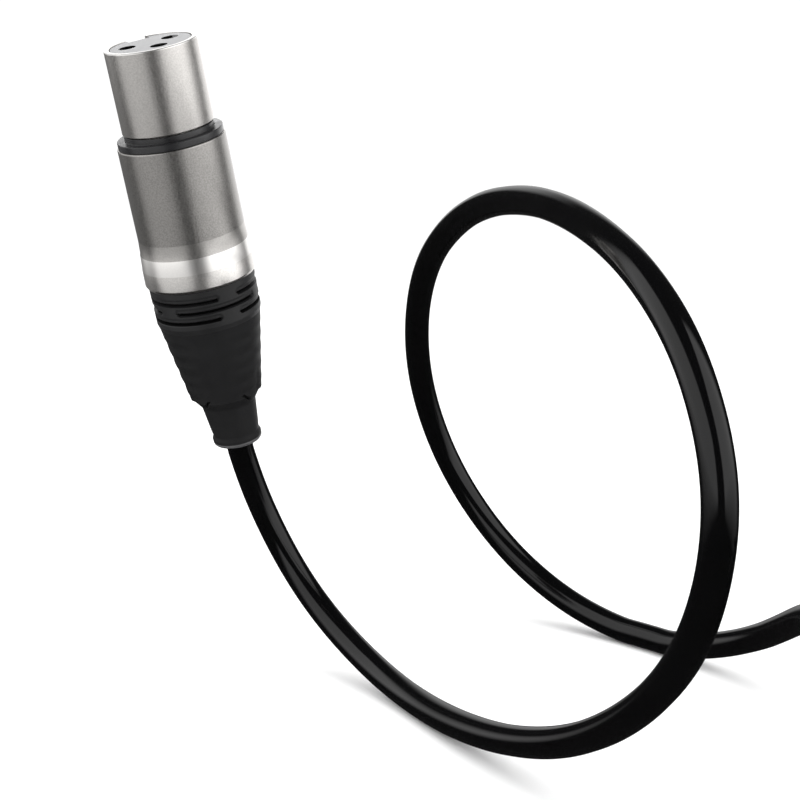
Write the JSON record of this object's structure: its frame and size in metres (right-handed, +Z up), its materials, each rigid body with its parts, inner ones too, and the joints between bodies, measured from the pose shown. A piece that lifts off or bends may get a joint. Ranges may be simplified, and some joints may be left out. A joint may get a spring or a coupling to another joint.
{
  "type": "microphone cable",
  "caption": "Balanced microphone lead: round black cord in a standing loop and a tied coil, with a female and a male three-contact locking metal connector.",
  "frame": {"origin": "middle of the female connector's mating face, on its insert", "axes": "+Z up, square to the floor the cord rests on; the female connector leans 17.5 degrees from +Z; +X runs from the connector towards the stored coil"},
  "size_m": [0.2044, 0.1769, 0.1148],
  "materials": {
    "satin_nickel": "satin nickel plate over die-cast zinc, fine blasted grain",
    "black_plastic": "satin moulded",
    "boot_rubber": "matte moulded",
    "grey_plastic": "satin moulded",
    "white_plastic": "satin moulded",
    "red_plastic": "satin core insulation",
    "gold_contact": "polished gold plate",
    "spring_steel": "bright",
    "tinned_copper": "twisted tinned strands",
    "cord_jacket": "glossy flexible PVC",
    "strap_fabric": "napped hook-and-loop tape"
  },
  "bodies": {
    "root": {"female_nose": "satin_nickel", "female_shell": "satin_nickel", "female_coding_ring": "black_plastic", "female_insert_front": "grey_plastic", "female_insert_rear": "grey_plastic", "female_socket_1": "gold_contact", "female_socket_2": "gold_contact", "female_socket_3": "gold_contact", "female_latch_pin": "spring_steel", "female_latch_spring": "spring_steel", "female_ground_spring": "spring_steel", "female_cable_end": "cord_jacket", "female_screen": "tinned_copper", "female_red_core": "red_plastic", "female_white_core": "white_plastic", "male_skirt": "satin_nickel", "male_shell": "satin_nickel", "male_coding_ring": "black_plastic", "male_insert": "black_plastic", "male_pin_1": "gold_contact", "male_pin_2": "gold_contact", "male_pin_3": "gold_contact", "male_ground_spring": "spring_steel", "male_cable_end": "cord_jacket", "male_screen": "tinned_copper", "male_red_core": "red_plastic", "male_white_core": "white_plastic", "cord": "cord_jacket", "cord_coil": "cord_jacket", "cord_tail": "cord_jacket", "coil_strap": "strap_fabric"},
    "latch": {"female_latch": "satin_nickel"},
    "female_collet": {"female_chuck": "white_plastic"},
    "female_cap": {"female_bushing": "black_plastic", "female_boot": "boot_rubber"},
    "male_collet": {"male_chuck": "white_plastic"},
    "male_cap": {"male_bushing": "black_plastic", "male_boot": "boot_rubber"}
  },
  "joints": [
    {"name": "latch_press", "type": "hinge", "parent": "root", "child": "latch", "pos_m": [0.0027, 0.01338, -0.0306], "axis": [0.8692, 0.4204, 0.2604], "range_deg": [0, 4], "stiffness_Nm_per_rad": 0.1, "springref_deg": -5.73, "deforming": ["female_latch_spring"]},
    {"name": "female_cap_slide", "type": "slide", "parent": "root", "child": "female_collet", "axis": [0.1638, 0.2522, -0.9537], "range_m": [0, 0.006]},
    {"name": "female_cap_turn", "type": "hinge", "parent": "female_collet", "child": "female_cap", "pos_m": [0, 0, 0], "axis": [0.1638, 0.2522, -0.9537], "range_deg": [0, 1350]},
    {"name": "male_cap_slide", "type": "slide", "parent": "root", "child": "male_collet", "axis": [0, -1, 0], "range_m": [0, 0.006]},
    {"name": "male_cap_turn", "type": "hinge", "parent": "male_collet", "child": "male_cap", "pos_m": [0.1866, 0.0766, -0.1021], "axis": [0, -1, 0], "range_deg": [0, 1350]}
  ],
  "couplings": [
    {"joint": "female_cap_turn", "follows": "female_cap_slide", "rad_per_m": 3927},
    {"joint": "male_cap_turn", "follows": "male_cap_slide", "rad_per_m": 3927}
  ]
}
